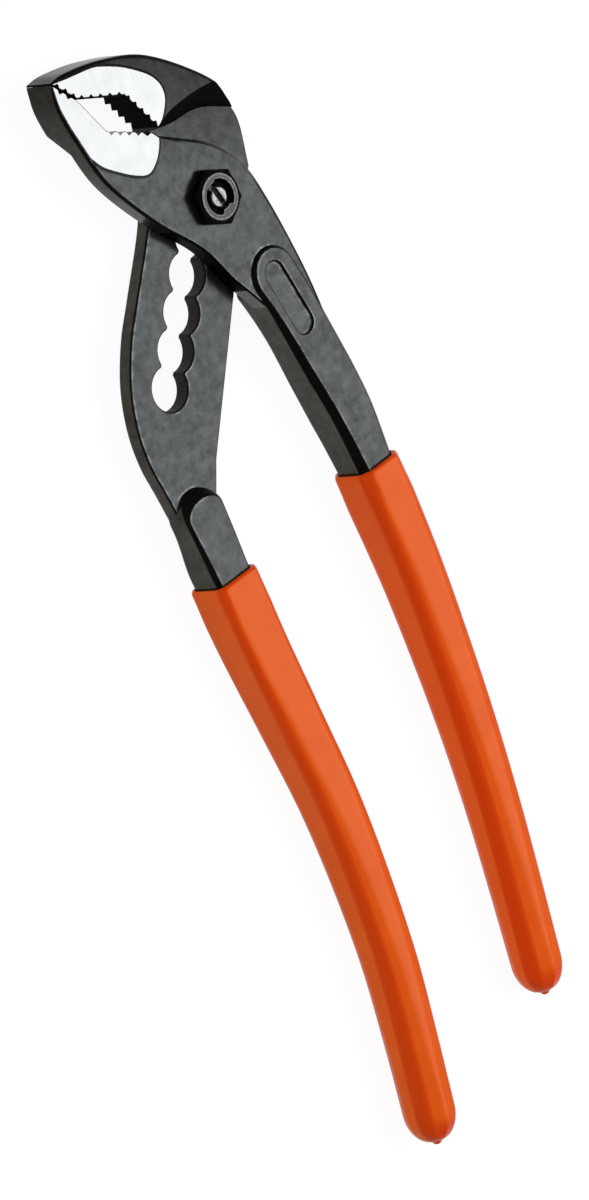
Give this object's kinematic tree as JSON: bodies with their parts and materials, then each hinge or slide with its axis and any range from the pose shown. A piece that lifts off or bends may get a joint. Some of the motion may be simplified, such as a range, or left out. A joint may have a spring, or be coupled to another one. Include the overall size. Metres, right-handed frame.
{
  "type": "water pump pliers",
  "caption": "Slip-joint water pump pliers with angled toothed jaws, a scalloped slot for setting the jaw width and dipped sleeves on both handles.",
  "frame": {"origin": "centre of the bolt head's back face, on the pivot axis, at the level of the surface that the tool lies on", "axes": "+Y along the tool towards the jaws, +Z out of the front face along the pivot axis, +X to the right seen from the front"},
  "size_m": [0.0689, 0.2481, 0.0139],
  "materials": {
    "black_steel": "forged, blackened and oiled, with ground jaw sides",
    "pivot_steel": "blackened, worn bright on the edges",
    "orange_vinyl": "satin dipped coating"
  },
  "bodies": {
    "front_lever": {"front_lever": "black_steel", "front_grip": "orange_vinyl"},
    "pivot": {"pivot_bolt": "pivot_steel", "pivot_nut": "pivot_steel"},
    "slotted_lever": {"slotted_lever": "black_steel", "slotted_grip": "orange_vinyl"}
  },
  "joints": [
    {"name": "handle_swing", "type": "hinge", "parent": "front_lever", "child": "pivot", "pos_m": [0, 0, 0], "axis": [0, 0, -1], "range_deg": [0, 55]},
    {"name": "slot_setting", "type": "slide", "parent": "pivot", "child": "slotted_lever", "axis": [0.6833, 0.7302, 0], "range_m": [0, 0.04175]}
  ]
}
